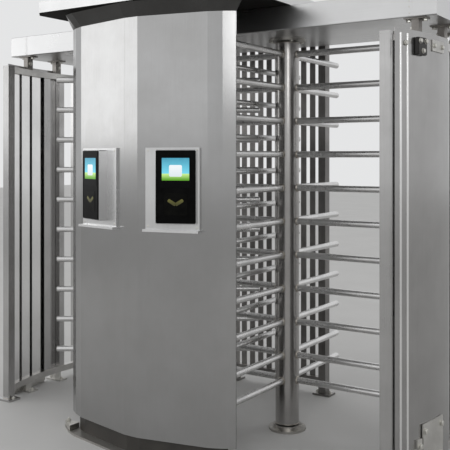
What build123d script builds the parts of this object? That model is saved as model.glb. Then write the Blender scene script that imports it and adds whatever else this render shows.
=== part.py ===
from build123d import *
import os
from math import degrees, hypot

# Twin-lane full-height turnstile, in millimetres. The origin is on the floor midway
# between the two rotor axes, X runs across the lanes and -Y faces the column's side.

# Rotors
AXIS_X = 465
REACH = 640
POST_R = 67
BAR_R = 17.5
TIP_CHAMFER = 4
STEP = 188
SECOND_BAR = 425
LOW_BAR_DROP = 142
LEFT_BAR_RISE = 48
HEAD_ROOM = 60
PLAY = 6
SPINDLE_R = 25
RUNNING_FIT = 0.05
END_FLOAT = 0.3
BEARING_THICK = 12
BEARING_R = 105
RING_R = 78
PAD_TOP = 30

# Heights of the roof's layers
CANOPY_BOTTOM = 2330
CANOPY_THICK = 60
BEAM_TALL = 128
BEAM_BOTTOM = CANOPY_BOTTOM - BEAM_TALL
BEAM_FILLET = 6
CORNICE_TALL = 72
HOUSING_TOP = CANOPY_BOTTOM - CORNICE_TALL

# Floor plates and their bolt holes
PLATE = 12
BOLT_R = 6

# Combs
COMB_INSET = 118
COMB_R = 15
COMB_END_Y = 350
COMB_LAND = 2

# Column in plan, right half of the front from the centre face outwards. Its rear clears the
# rotors' circles, and its front is measured forwards from the rear.
COLUMN_GAP = 22
COLUMN_REAR_Y = -(REACH + COLUMN_GAP)
COLUMN_FRONT = [
    (44, COLUMN_REAR_Y - 153),
    (425, COLUMN_REAR_Y - 73),
    (494, COLUMN_REAR_Y - 42),
    (550, COLUMN_REAR_Y - 6),
]
COLUMN_HALF = COLUMN_FRONT[-1][0]
HOLLOW_X = AXIS_X - COMB_INSET - COMB_R - COMB_LAND
COLUMN_HOLLOW = [
    (HOLLOW_X, COLUMN_REAR_Y),
    (HOLLOW_X - 180, COLUMN_REAR_Y + 62),
    (0, COLUMN_REAR_Y + 142),
]
FOLD_R = 8
FLARE = 42
PLINTH_TOP = 100
PLINTH_SET_BACK = 18
PLINTH_END_SET_BACK = 50
FLANGE_LIP = 32
FLANGE_EAR = 60
EAR_BOLT_IN = 35
EAR_BOLT_FORWARD = 14

# Back screen
BACK_Y = REACH + 60
BACK_POST_X = 345
BACK_POST_WIDE = 50
BACK_POST_DEEP = 60
BACK_PLATE_WIDE = 120
BACK_PLATE_DEEP = 90
BACK_BOLT_SPACE = 90
BACK_RAIL = 40
BACK_RAIL_LOW = 70
BACK_SLAT_WIDE = 38
BACK_SLAT_THICK = 8
BACK_SLAT_PITCH = 66
BACK_SLATS_EACH_WAY = int((BACK_POST_X - (BACK_POST_WIDE + BACK_SLAT_WIDE) / 2) // BACK_SLAT_PITCH)

# Canopy, past the column's ends and front and past the back screen
CANOPY_HALF = COLUMN_HALF + 115
CANOPY_FRONT = COLUMN_FRONT[0][1] - 65
CANOPY_REAR = BACK_Y + 180
CANOPY_CORNER = 65

# Side screens, which bow outwards between their two ends
SIDE_GAP = 165
SIDE_BOW = 92
SIDE_END_X = AXIS_X + REACH + SIDE_GAP
SIDE_MID_X = SIDE_END_X + SIDE_BOW
SIDE_HALF = 505
RAIL_WIDE = 40
RAIL_TALL = 40
RAIL_LOW = 50
RAIL_DROP = 127
RAIL_HIGH = BEAM_BOTTOM - RAIL_DROP
TUBE = 50
POST_PLATE_WIDE = 110
POST_PLATE_DEEP = 90
POST_BOLT_SPACE = 84
FOOT_INSET = 205
FOOT_PLATE = (130, 70)
FOOT_BLOCK = (30, 50)
FOOT_PLATE_THICK = 10

# The slats start beside the near end post. A stout upright follows them, then thin ones.
SLATS = 3
SLAT_THICK = 8
SLAT_WIDE = 88
SLAT_GAP = 24
SLAT_END_GAP = 6
STOUT_WIDE = 60
STOUT_GAP = 22
UPRIGHT_DEEP = 36
UPRIGHT_WIDE = 45
UPRIGHT_FIRST = 142
UPRIGHT_PITCH = 136
UPRIGHT_END_INSET = 85
FIRST_SLAT_Y = TUBE / 2 + SLAT_END_GAP + SLAT_WIDE / 2 - SIDE_HALF
SLAT_YS = [FIRST_SLAT_Y + (SLAT_WIDE + SLAT_GAP) * k for k in range(SLATS)]
STOUT_Y = SLAT_YS[-1] + (SLAT_WIDE + STOUT_WIDE) / 2 + STOUT_GAP
LAST_UPRIGHT_Y = SIDE_HALF - UPRIGHT_END_INSET
UPRIGHT_RUN = LAST_UPRIGHT_Y - 2 * UPRIGHT_WIDE - STOUT_Y - UPRIGHT_FIRST
UPRIGHT_YS = [
    STOUT_Y + UPRIGHT_FIRST + UPRIGHT_PITCH * k for k in range(int(UPRIGHT_RUN // UPRIGHT_PITCH) + 1)
] + [LAST_UPRIGHT_Y]

# Roof beam, past the side screens, and the brackets under it
BEAM_OVERHANG = 84
BEAM_LONG = 2 * (SIDE_MID_X + BEAM_OVERHANG)
BEAM_DEEP = 660
BRACKET_INSET = 45
BRACKET_STUB = (36, 46)
BRACKET_PLATE = (110, 64)
BRACKET_THICK = 6

# Terminals on the two broad faces
TERMINAL_Z = 1389
TERMINAL_WIDE = 212
TERMINAL_TALL = 372
TERMINAL_SHIFT = 24
CASE_THICK = 24
CASE_CORNER = 14
FRAME_SIDE_MARGIN = 44
FRAME_END_MARGIN = 20
FRAME_WIDE = TERMINAL_WIDE + 2 * FRAME_SIDE_MARGIN
FRAME_TALL = TERMINAL_TALL + 2 * FRAME_END_MARGIN
FRAME_SHIFT = 8
FRAME_DROP = 10
FRAME_THICK = 12
SILL_TALL = 12
SILL_SIDE = 4
SILL_FORWARD = 4
SCREEN_WIDE = 140
SCREEN_TALL = 160
SCREEN_THICK = 2
SCREEN_TOP_MARGIN = 31

SIDES = {"right": 1, "left": -1}
BASE = (Align.CENTER, Align.CENTER, Align.MIN)


def heights(first):
    """Heights of the bars from first upwards, one step apart, as far as the beam leaves room."""
    return [first + STEP * k for k in range(int((BEAM_BOTTOM - HEAD_ROOM - first) // STEP) + 1)]


# The rotors' circles cross between the posts, so their bars sit half a step apart.
LOWEST_BAR = SECOND_BAR - LOW_BAR_DROP
BARS = {
    "right": [LOWEST_BAR] + heights(SECOND_BAR),
    "left": [LOWEST_BAR + LEFT_BAR_RISE] + heights(SECOND_BAR + STEP / 2),
}
# Each comb's bars sit half a step off the bars of the rotor that they screen.
COMBS = {"right": heights(SECOND_BAR + STEP / 2), "left": heights(SECOND_BAR)}
# Direction of each rotor's first wing at rest, in degrees from +X.
FIRST_WING = {"right": 0, "left": 214}


def write(builder, name):
    builder.part.label = name
    for number, solid in enumerate(builder.part.solids(), 1):
        solid.label = f"{name}_{number}"
    export_step(builder.part, f"parts/{name}.step")


def plan(grow, reach_x):
    """Plan of the column, its front moved out by grow and its ends at reach_x."""
    front = []
    for x, y in COLUMN_FRONT[:-1]:
        front.append((x + grow * x / COLUMN_HALF, y - grow))
    front.append((reach_x, COLUMN_FRONT[-1][1] - grow / 6))
    right = front + [(reach_x, COLUMN_REAR_Y)] + COLUMN_HOLLOW
    left = [(-x, y) for x, y in reversed(right) if x > 0]
    return right + left


def side_x(y):
    """Distance of a side screen's middle line from X = 0, at y along the lane."""
    return SIDE_MID_X - (SIDE_MID_X - SIDE_END_X) * (y / SIDE_HALF) ** 2


def side_turn(y):
    """Angle in degrees by which the side screen's line leans away from Y at y."""
    return degrees(2 * (SIDE_MID_X - SIDE_END_X) * y / SIDE_HALF**2)


def broad_face(sign, out):
    """Plane of one broad column face, moved out of it, its y axis straight up."""
    inner, outer = COLUMN_FRONT[0], COLUMN_FRONT[1]
    middle = (sign * (inner[0] + outer[0]) / 2, (inner[1] + outer[1]) / 2, 0)
    across = (outer[0] - inner[0], sign * (outer[1] - inner[1]), 0)
    normal = (sign * (outer[1] - inner[1]), inner[0] - outer[0], 0)
    return Plane(origin=middle, x_dir=across, z_dir=normal).offset(out)


def column():
    # Base flange: floor plate under the column, bolted down at its two ends.
    with BuildPart() as flange:
        with BuildSketch():
            with BuildLine():
                Polyline(*plan(FLANGE_LIP, COLUMN_HALF + FLANGE_EAR), close=True)
            make_face()
        extrude(amount=PLATE)
        bolt_x = COLUMN_HALF + FLANGE_EAR - EAR_BOLT_IN
        bolt_y = COLUMN_REAR_Y - EAR_BOLT_FORWARD
        with Locations((-bolt_x, bolt_y, PLATE), (bolt_x, bolt_y, PLATE)):
            Hole(BOLT_R, depth=PLATE)
    write(flange, "column_base_flange")

    # Plinth: the set-back foot under the housing.
    with BuildPart() as plinth:
        with BuildSketch(Plane.XY.offset(PLATE)):
            with BuildLine():
                Polyline(*plan(-PLINTH_SET_BACK, COLUMN_HALF - PLINTH_END_SET_BACK), close=True)
            make_face()
        extrude(amount=PLINTH_TOP - PLATE)
    write(plinth, "column_plinth")

    # Housing: folded sheet-steel tower, its back hollowed to clear both rotors.
    with BuildPart() as housing:
        with BuildSketch(Plane.XY.offset(PLINTH_TOP)):
            with BuildLine():
                Polyline(*plan(0, COLUMN_HALF), close=True)
            make_face()
        extrude(amount=HOUSING_TOP - PLINTH_TOP)
        upright = housing.edges().filter_by(Axis.Z)
        folds = upright.filter_by_position(Axis.Y, COLUMN_FRONT[0][1] - 1, COLUMN_FRONT[2][1] + 1)
        fillet(folds, radius=FOLD_R)
    write(housing, "column_housing")

    # Cornice: flared steel band between the housing and the canopy.
    with BuildPart() as cornice:
        with BuildSketch(Plane.XY.offset(HOUSING_TOP)):
            with BuildLine():
                Polyline(*plan(0, COLUMN_HALF), close=True)
            make_face()
        with BuildSketch(Plane.XY.offset(CANOPY_BOTTOM)):
            with BuildLine():
                Polyline(*plan(FLARE, COLUMN_HALF + FLARE), close=True)
            make_face()
        loft(ruled=True)
    write(cornice, "column_cornice")


def roof():
    # Beam: long steel box across both lanes that carries the rotors' heads.
    with BuildPart() as beam:
        with BuildSketch(Plane.XY.offset(BEAM_BOTTOM)):
            Rectangle(BEAM_LONG, BEAM_DEEP)
        extrude(amount=CANOPY_BOTTOM - BEAM_BOTTOM)
        fillet(beam.edges().filter_by(Axis.X), radius=BEAM_FILLET)
    write(beam, "roof_beam")

    # Canopy: thick plate over the column, the beam and the back screen.
    with BuildPart() as canopy:
        with BuildSketch(Plane.XY.offset(CANOPY_BOTTOM)) as cap:
            with Locations((0, (CANOPY_FRONT + CANOPY_REAR) / 2)):
                Rectangle(2 * CANOPY_HALF, CANOPY_REAR - CANOPY_FRONT)
            chamfer(cap.vertices(), length=CANOPY_CORNER)
        extrude(amount=CANOPY_THICK)
    write(canopy, "canopy_plate")


def rotor(side, sign):
    x = sign * AXIS_X
    bottom = PAD_TOP + PLAY
    top = BEAM_BOTTOM - BEARING_THICK - PLAY

    # Post: closed steel tube with a spindle at each end that runs in a bearing.
    with BuildPart() as post:
        with BuildSketch(Plane((x, 0, bottom))):
            Circle(POST_R)
        extrude(amount=top - bottom)
        with BuildSketch(Plane((x, 0, BEARING_THICK + END_FLOAT))):
            Circle(SPINDLE_R)
        extrude(amount=bottom - BEARING_THICK - END_FLOAT)
        with BuildSketch(Plane((x, 0, top))):
            Circle(SPINDLE_R)
        extrude(amount=BEAM_BOTTOM - END_FLOAT - top)
    write(post, f"rotor_{side}_post")

    # Wings: round bars one above another, each welded to the post at its inner end.
    for number in range(4):
        turn = FIRST_WING[side] + 90 * number
        with BuildPart() as wing:
            for z in BARS[side]:
                root = Plane((x, 0, z)).rotated((0, 0, turn))
                along = Plane(origin=root.origin, x_dir=(0, 0, 1), z_dir=root.x_dir)
                with BuildSketch(along.offset(POST_R / 2)):
                    Circle(BAR_R)
                extrude(amount=REACH - POST_R / 2)
            ends = wing.edges().filter_by(GeomType.CIRCLE)
            tips = [e for e in ends if hypot(e.center().X - x, e.center().Y) > REACH - 1]
            chamfer(tips, length=TIP_CHAMFER)
            with Locations((x, 0, 0)):
                Cylinder(POST_R, BEAM_BOTTOM, align=BASE, mode=Mode.SUBTRACT)
        write(wing, f"rotor_{side}_wing_{number + 1}")

    # Top bearing: round plate under the beam, bored for the upper spindle.
    with BuildPart() as head:
        with BuildSketch(Plane((x, 0, BEAM_BOTTOM - BEARING_THICK))):
            Circle(BEARING_R)
            Circle(SPINDLE_R + RUNNING_FIT, mode=Mode.SUBTRACT)
        extrude(amount=BEARING_THICK)
    write(head, f"top_bearing_{side}")

    # Floor bearing: stepped round pad whose raised ring holds the lower spindle.
    with BuildPart() as pad:
        with BuildSketch(Plane((x, 0, 0))):
            Circle(BEARING_R)
        extrude(amount=BEARING_THICK)
        with BuildSketch(Plane((x, 0, BEARING_THICK))):
            Circle(RING_R)
            Circle(SPINDLE_R + RUNNING_FIT, mode=Mode.SUBTRACT)
        extrude(amount=PAD_TOP - BEARING_THICK)
    write(pad, f"floor_bearing_{side}")


def comb(side, sign):
    # Comb: fixed round bars that stand out of the column's back beside the rotor post.
    x = sign * (AXIS_X - COMB_INSET)
    with BuildPart() as bars:
        for z in COMBS[side]:
            with BuildSketch(Plane(origin=(x, COLUMN_REAR_Y, z), x_dir=(1, 0, 0), z_dir=(0, 1, 0))):
                Circle(COMB_R)
            extrude(amount=COMB_END_Y - COLUMN_REAR_Y)
    write(bars, f"comb_bars_{side}")


def side_screen(side, sign):
    slat_low = RAIL_LOW + RAIL_TALL
    slat_high = RAIL_HIGH

    # Rails: two curved flat bands, one under and one over the slats.
    with BuildPart() as rails:
        for base in (RAIL_LOW, RAIL_HIGH):
            with BuildSketch(Plane.XY.offset(base)):
                with BuildLine():
                    half = RAIL_WIDE / 2
                    near = SIDE_HALF - TUBE / 2
                    end = side_x(near)
                    ThreePointArc(
                        (sign * (end - half), -near),
                        (sign * (SIDE_MID_X - half), 0),
                        (sign * (end - half), near),
                    )
                    Line((sign * (end - half), near), (sign * (end + half), near))
                    ThreePointArc(
                        (sign * (end + half), near),
                        (sign * (SIDE_MID_X + half), 0),
                        (sign * (end + half), -near),
                    )
                    Line((sign * (end + half), -near), (sign * (end - half), -near))
                make_face()
            extrude(amount=RAIL_TALL)
    write(rails, f"side_rails_{side}")

    # Slats: wide thin upright plates in the half of the screen nearest the column's side.
    with BuildPart() as slats:
        for y in SLAT_YS:
            spot = Plane((sign * side_x(y), y, slat_low)).rotated((0, 0, sign * side_turn(y)))
            with BuildSketch(spot):
                Rectangle(SLAT_THICK, SLAT_WIDE)
            extrude(amount=slat_high - slat_low)
    write(slats, f"side_slats_{side}")

    # Uprights: one square post behind the slats, then square tubes wide apart.
    with BuildPart() as uprights:
        for y, wide in [(STOUT_Y, STOUT_WIDE)] + [(y, UPRIGHT_WIDE) for y in UPRIGHT_YS]:
            spot = Plane((sign * side_x(y), y, slat_low)).rotated((0, 0, sign * side_turn(y)))
            with BuildSketch(spot):
                Rectangle(UPRIGHT_DEEP, wide)
            extrude(amount=slat_high - slat_low)
    write(uprights, f"side_uprights_{side}")

    # End posts: square tubes on bolted floor plates, one at each end of the screen.
    with BuildPart() as posts:
        for y in (-SIDE_HALF, SIDE_HALF):
            with BuildSketch(Plane((sign * SIDE_END_X, y, 0))):
                Rectangle(POST_PLATE_WIDE, POST_PLATE_DEEP)
            extrude(amount=PLATE)
            with BuildSketch(Plane((sign * SIDE_END_X, y, PLATE))):
                Rectangle(TUBE, TUBE)
            extrude(amount=RAIL_HIGH + RAIL_TALL - PLATE)
            with Locations((sign * SIDE_END_X, y, PLATE)):
                with GridLocations(POST_BOLT_SPACE, 0, 2, 1):
                    Hole(BOLT_R, depth=PLATE)
    write(posts, f"side_end_posts_{side}")

    # Feet: bolted blocks under the bottom rail.
    with BuildPart() as feet:
        for y in (FOOT_INSET - SIDE_HALF, 0, SIDE_HALF - FOOT_INSET):
            with BuildSketch(Plane((sign * side_x(y), y, 0))):
                Rectangle(*FOOT_PLATE)
            extrude(amount=FOOT_PLATE_THICK)
            with BuildSketch(Plane((sign * side_x(y), y, FOOT_PLATE_THICK))):
                Rectangle(*FOOT_BLOCK)
            extrude(amount=RAIL_LOW - FOOT_PLATE_THICK)
    write(feet, f"side_feet_{side}")

    # Brackets: plates and stubs that hang the top rail from the beam.
    with BuildPart() as brackets:
        for y in (BRACKET_INSET - BEAM_DEEP / 2, 0, BEAM_DEEP / 2 - BRACKET_INSET):
            with BuildSketch(Plane((sign * side_x(y), y, RAIL_HIGH + RAIL_TALL))):
                Rectangle(*BRACKET_STUB)
            extrude(amount=BEAM_BOTTOM - BRACKET_THICK - RAIL_HIGH - RAIL_TALL)
            with BuildSketch(Plane((sign * side_x(y), y, BEAM_BOTTOM - BRACKET_THICK))):
                Rectangle(*BRACKET_PLATE)
            extrude(amount=BRACKET_THICK)
    write(brackets, f"side_brackets_{side}")


def terminal(side, sign):
    shift = sign * TERMINAL_SHIFT
    frame_z = TERMINAL_Z - FRAME_DROP
    # Frame: shallow steel surround on the broad face.
    with BuildPart() as frame:
        with BuildSketch(broad_face(sign, 0)):
            with Locations((sign * FRAME_SHIFT, frame_z)):
                Rectangle(FRAME_WIDE, FRAME_TALL)
        extrude(amount=FRAME_THICK)
    write(frame, f"terminal_frame_{side}")

    # Sill: narrow ledge along the frame's foot.
    with BuildPart() as sill:
        with BuildSketch(broad_face(sign, 0)):
            with Locations((sign * FRAME_SHIFT, frame_z - (FRAME_TALL + SILL_TALL) / 2)):
                Rectangle(FRAME_WIDE + 2 * SILL_SIDE, SILL_TALL)
        extrude(amount=FRAME_THICK + CASE_THICK + SILL_FORWARD)
    write(sill, f"terminal_sill_{side}")

    # Case: black reader with rounded corners.
    with BuildPart() as case:
        with BuildSketch(broad_face(sign, FRAME_THICK)):
            with Locations((shift, TERMINAL_Z)):
                RectangleRounded(TERMINAL_WIDE, TERMINAL_TALL, CASE_CORNER)
        extrude(amount=CASE_THICK)
    write(case, f"terminal_{side}")

    # Screen: lit glass in the case's upper part.
    with BuildPart() as screen:
        screen_z = TERMINAL_Z + (TERMINAL_TALL - SCREEN_TALL) / 2 - SCREEN_TOP_MARGIN
        with BuildSketch(broad_face(sign, FRAME_THICK + CASE_THICK)):
            with Locations((shift, screen_z)):
                Rectangle(SCREEN_WIDE, SCREEN_TALL)
        extrude(amount=SCREEN_THICK)
    write(screen, f"terminal_screen_{side}")


def back_screen():
    slat_low = BACK_RAIL_LOW + BACK_RAIL

    # Slats: narrow upright flats across the far side of the column.
    with BuildPart() as slats:
        for k in range(-BACK_SLATS_EACH_WAY, BACK_SLATS_EACH_WAY + 1):
            with BuildSketch(Plane((BACK_SLAT_PITCH * k, BACK_Y, slat_low))):
                Rectangle(BACK_SLAT_WIDE, BACK_SLAT_THICK)
            extrude(amount=CANOPY_BOTTOM - BACK_RAIL - slat_low)
    write(slats, "back_screen_slats")

    # Rails: flat bars between the posts, at the slats' feet and heads.
    with BuildPart() as rails:
        for base in (BACK_RAIL_LOW, CANOPY_BOTTOM - BACK_RAIL):
            with BuildSketch(Plane((0, BACK_Y, base))):
                Rectangle(2 * BACK_POST_X - BACK_POST_WIDE, BACK_RAIL)
            extrude(amount=BACK_RAIL)
    write(rails, "back_screen_rails")

    # Posts: square tubes from floor plates up to the canopy.
    with BuildPart() as posts:
        for x in (-BACK_POST_X, BACK_POST_X):
            with BuildSketch(Plane((x, BACK_Y, 0))):
                Rectangle(BACK_PLATE_WIDE, BACK_PLATE_DEEP)
            extrude(amount=PLATE)
            with BuildSketch(Plane((x, BACK_Y, PLATE))):
                Rectangle(BACK_POST_WIDE, BACK_POST_DEEP)
            extrude(amount=CANOPY_BOTTOM - PLATE)
            with Locations((x, BACK_Y, PLATE)):
                with GridLocations(BACK_BOLT_SPACE, 0, 2, 1):
                    Hole(BOLT_R, depth=PLATE)
    write(posts, "back_screen_posts")


os.makedirs("parts", exist_ok=True)
column()
roof()
back_screen()
for side, sign in SIDES.items():
    rotor(side, sign)
    comb(side, sign)
    side_screen(side, sign)
    terminal(side, sign)
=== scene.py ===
from math import cos, pi, radians, sin, tan

import bmesh
import bpy
from mathutils import Matrix, Vector


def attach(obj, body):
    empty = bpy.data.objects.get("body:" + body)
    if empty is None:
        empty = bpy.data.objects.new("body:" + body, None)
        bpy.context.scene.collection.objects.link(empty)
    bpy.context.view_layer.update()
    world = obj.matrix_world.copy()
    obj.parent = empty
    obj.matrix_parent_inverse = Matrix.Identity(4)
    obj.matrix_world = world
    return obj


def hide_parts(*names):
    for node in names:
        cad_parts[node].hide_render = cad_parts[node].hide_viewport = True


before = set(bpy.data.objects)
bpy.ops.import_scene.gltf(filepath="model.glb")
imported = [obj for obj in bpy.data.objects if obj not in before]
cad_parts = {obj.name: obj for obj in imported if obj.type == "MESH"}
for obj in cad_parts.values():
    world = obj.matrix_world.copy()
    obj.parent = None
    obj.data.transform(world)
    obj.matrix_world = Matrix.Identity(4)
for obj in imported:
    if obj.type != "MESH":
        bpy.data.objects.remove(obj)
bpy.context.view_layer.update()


# Base flange of the column: one 12 mm steel plate with an ear at each end. It is laser-cut and
# left with its mill finish. On each ear lies a bright cast block, held down by an anchor bolt.
SIDES = {"right": 1, "left": -1}
BRUSHING_SCALE = 200
BRUSHING_SHARE = 0.35
CLOUD_SCALE = 2.2
TONE_SPAN = (0.45, 1.0)
EAR_BOLT = (0.575, -0.676)
EAR_BOLT_R = 0.006
EAR_BLOCK = [(0.505, -0.6625), (0.606, -0.6625), (0.606, -0.674), (0.523, -0.733), (0.505, -0.741)]
EAR_BLOCK_LOW = 0.012
EAR_BLOCK_HIGH = 0.040
EAR_BLOCK_EDGE = 0.002
WASHER = [(1.9, 0), (2, 0.05), (2, 0.25), (1.9, 0.3)]
NUT = [(1.45, 0.3), (1.7, 0.5), (1.7, 1.6), (1.4, 1.85)]
STUD = [(1, 1.8), (1, 2.6), (0.8, 2.85)]


def link(tree, start, end):
    tree.links.new(start, end)


def node(tree, kind, **settings):
    made = tree.nodes.new(kind)
    for setting, value in settings.items():
        setattr(made, setting, value)
    return made


def grain(tree, stretch, scale, detail=3.0, roughness=0.6):
    """Noise read from the piece's own coordinates, drawn out along the axis with the small stretch."""
    place = node(tree, "ShaderNodeTexCoord")
    mapping = node(tree, "ShaderNodeMapping")
    mapping.inputs["Scale"].default_value = stretch
    noise = node(tree, "ShaderNodeTexNoise")
    noise.inputs["Scale"].default_value = scale
    noise.inputs["Detail"].default_value = detail
    noise.inputs["Roughness"].default_value = roughness
    link(tree, place.outputs["Object"], mapping.inputs["Vector"])
    link(tree, mapping.outputs["Vector"], noise.inputs["Vector"])
    return noise.outputs["Fac"]


def spread(tree, value, low, high, start=0.3, end=0.7):
    """A noise value from start to end, laid over the range from low to high."""
    ramp = node(tree, "ShaderNodeMapRange")
    ramp.inputs["From Min"].default_value = start
    ramp.inputs["From Max"].default_value = end
    ramp.inputs["To Min"].default_value = low
    ramp.inputs["To Max"].default_value = high
    link(tree, value, ramp.inputs["Value"])
    return ramp.outputs["Result"]


def tinted(tree, value, dark, light):
    """Colour between dark and light as the value goes from 0 to 1."""
    mix = node(tree, "ShaderNodeMix", data_type="RGBA")
    mix.inputs["A"].default_value = (*dark, 1)
    mix.inputs["B"].default_value = (*light, 1)
    link(tree, value, mix.inputs["Factor"])
    return mix.outputs["Result"]


def relief(tree, value, distance, strength=0.5, under=None):
    """Relief as deep as the distance, laid over the relief under it."""
    bump = node(tree, "ShaderNodeBump")
    bump.inputs["Distance"].default_value = distance
    bump.inputs["Strength"].default_value = strength
    link(tree, value, bump.inputs["Height"])
    if under is not None:
        link(tree, under, bump.inputs["Normal"])
    return bump.outputs["Normal"]


def finish(name, metallic):
    """A new material with its shader, whose sockets the caller sets or links."""
    made = bpy.data.materials.new(name)
    made.use_nodes = True
    shader = made.node_tree.nodes["Principled BSDF"]
    shader.inputs["Metallic"].default_value = metallic
    return made, made.node_tree, shader


def steel(name, dark, light, rough, stretch, scale=1.0, wave=0.0, scratch=0.00006):
    """Stainless steel brushed along the axis with the small stretch; rough is its lowest and
    highest roughness, wave the depth of the slow dents of thin sheet."""
    made, tree, shader = finish(name, 1.0)
    brushing = grain(tree, stretch, BRUSHING_SCALE * scale, detail=4.0)
    clouds = grain(tree, (1, 1, 1), CLOUD_SCALE * scale, detail=4.0)
    blend = node(tree, "ShaderNodeMath", operation="MULTIPLY_ADD")
    blend.inputs[1].default_value = BRUSHING_SHARE
    link(tree, brushing, blend.inputs[0])
    link(tree, clouds, blend.inputs[2])
    tone = spread(tree, blend.outputs[0], 0, 1, *TONE_SPAN)
    link(tree, tinted(tree, tone, dark, light), shader.inputs["Base Color"])
    gloss = spread(tree, blend.outputs[0], rough[1], rough[0], *TONE_SPAN)
    link(tree, gloss, shader.inputs["Roughness"])
    normal = relief(tree, brushing, scratch)
    if wave:
        normal = relief(tree, grain(tree, (1, 1, 0.6), 3.0, detail=1.0), wave, 1.0, normal)
    link(tree, normal, shader.inputs["Normal"])
    return made


def dress(material, *names):
    """Puts the material in every slot of the CAD nodes with these names."""
    for name in names:
        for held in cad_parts[name].material_slots:
            held.material = material


def skin(mesh, rings, hoop=False):
    """Covers rings of vertices with faces. A hoop's last ring joins its first, and any other
    form is closed by its two end faces."""
    pairs = list(zip(rings, rings[1:]))
    if hoop:
        pairs.append((rings[-1], rings[0]))
    else:
        mesh.faces.new(reversed(rings[0]))
        mesh.faces.new(rings[-1])
    for low, high in pairs:
        for k in range(len(low)):
            following = (k + 1) % len(low)
            mesh.faces.new((low[k], low[following], high[following], high[k]))


def turned(mesh, spot, axis, profile, sides=20, hoop=False):
    """Adds a turned form: rings of (radius, height) about the axis at spot."""
    lean = Vector(axis).normalized().to_track_quat("Z", "Y").to_matrix()
    rings = []
    for radius, height in profile:
        ring = []
        for k in range(sides):
            turn = 2 * pi * (k + 0.5) / sides
            at = lean @ Vector((radius * cos(turn), radius * sin(turn), height))
            ring.append(mesh.verts.new(Vector(spot) + at))
        rings.append(ring)
    skin(mesh, rings, hoop)


def upright_sheet(mesh, line, low, high):
    """A closed form with the plan given by line and the heights low and high."""
    skin(mesh, [[mesh.verts.new((x, y, height)) for x, y in line] for height in (low, high)])


def scaled(profile, size):
    """A profile given in radii of a stud or bar, at its real size."""
    return [(radius * size, height * size) for radius, height in profile]


def anchor(mesh, spot, axis, size):
    """A stud with its nut and washer; size is the stud's radius."""
    turned(mesh, spot, axis, scaled(WASHER, size))
    turned(mesh, spot, axis, scaled(NUT, size), sides=6)
    turned(mesh, spot, axis, scaled(STUD, size))


def soften(mesh, edges, size):
    """Rounds the edges off by size."""
    bmesh.ops.bevel(mesh, geom=list(edges), offset=size, segments=2, affect="EDGES", clamp_overlap=True)


def piece(name, mesh, material, body, crease=35):
    """Makes the mesh a piece that rides on body, smooth but for edges sharper than the crease."""
    bmesh.ops.recalc_face_normals(mesh, faces=mesh.faces)
    for edge in mesh.edges:
        edge.smooth = edge.calc_face_angle(0) < radians(crease)
    for face in mesh.faces:
        face.smooth = True
    data = bpy.data.meshes.new(name)
    mesh.to_mesh(data)
    mesh.free()
    made = bpy.data.objects.new(name, data)
    bpy.context.collection.objects.link(made)
    data.materials.append(material)
    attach(made, body)
    return made


mill_plate = steel(
    "mill_plate",
    dark=(0.36, 0.35, 0.33),
    light=(0.62, 0.60, 0.57),
    rough=(0.34, 0.52),
    stretch=(1, 1, 1),
    scale=0.8,
)
dress(mill_plate, "column_base_flange")
zinc = steel(
    "zinc_fixings",
    dark=(0.50, 0.49, 0.45),
    light=(0.80, 0.79, 0.75),
    rough=(0.24, 0.42),
    stretch=(1, 1, 1),
    scale=4.0,
)
blocks = bmesh.new()
bolts = bmesh.new()
for sign in SIDES.values():
    outline = [(sign * x, y) for x, y in EAR_BLOCK]
    upright_sheet(blocks, outline, EAR_BLOCK_LOW, EAR_BLOCK_HIGH)
    anchor(bolts, (sign * EAR_BOLT[0], EAR_BOLT[1], EAR_BLOCK_HIGH), (0, 0, 1), EAR_BOLT_R)
soften(blocks, blocks.edges, EAR_BLOCK_EDGE)
piece("column_ear_blocks", blocks, zinc, "frame")
piece("column_anchors", bolts, zinc, "frame")


# Plinth of the column: a set-back foot of folded steel, painted a warm black.
# It stands on the base flange and is welded to it all round.
def paint(name, dark, light, rough, scale, dimple, gloss=0.5):
    """Paint or moulded plastic with a fine surface and a slow change of tone."""
    made, tree, shader = finish(name, 0.0)
    shader.inputs["Specular IOR Level"].default_value = gloss
    clouds = grain(tree, (1, 1, 1), scale, detail=5.0)
    link(tree, tinted(tree, spread(tree, clouds, 0, 1), dark, light), shader.inputs["Base Color"])
    link(tree, spread(tree, clouds, rough[0], rough[1]), shader.inputs["Roughness"])
    link(tree, relief(tree, grain(tree, (1, 1, 1), scale * 60), dimple), shader.inputs["Normal"])
    return made


plinth_paint = paint(
    "plinth_paint",
    dark=(0.018, 0.016, 0.014),
    light=(0.050, 0.045, 0.038),
    rough=(0.45, 0.65),
    scale=6,
    dimple=0.0002,
)
dress(plinth_paint, "column_plinth")


# Housing of the column: a tall tower folded from 2 mm stainless sheet, brushed upright.
# Its two broad faces carry the terminals, and its back is hollowed to clear both rotors.
housing_steel = steel(
    "housing_steel",
    dark=(0.36, 0.358, 0.354),
    light=(0.42, 0.42, 0.42),
    rough=(0.15, 0.20),
    stretch=(1, 1, 0.012),
    scale=1.6,
    wave=0.0006,
)
dress(housing_steel, "column_housing")


# Cornice of the column: the flared band that joins the housing to the canopy. It is one folded
# stainless sheet, brushed and welded to the housing at its foot. Its near-black colour is painted
# shade and a painted dark reflection, far darker than the steel's own tone.
cornice_painted_shade = steel(
    "cornice_painted_shade",
    dark=(0.06, 0.059, 0.057),
    light=(0.10, 0.099, 0.097),
    rough=(0.26, 0.34),
    stretch=(1, 1, 0.03),
    scale=1.0,
)
dress(cornice_painted_shade, "column_cornice")


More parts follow.
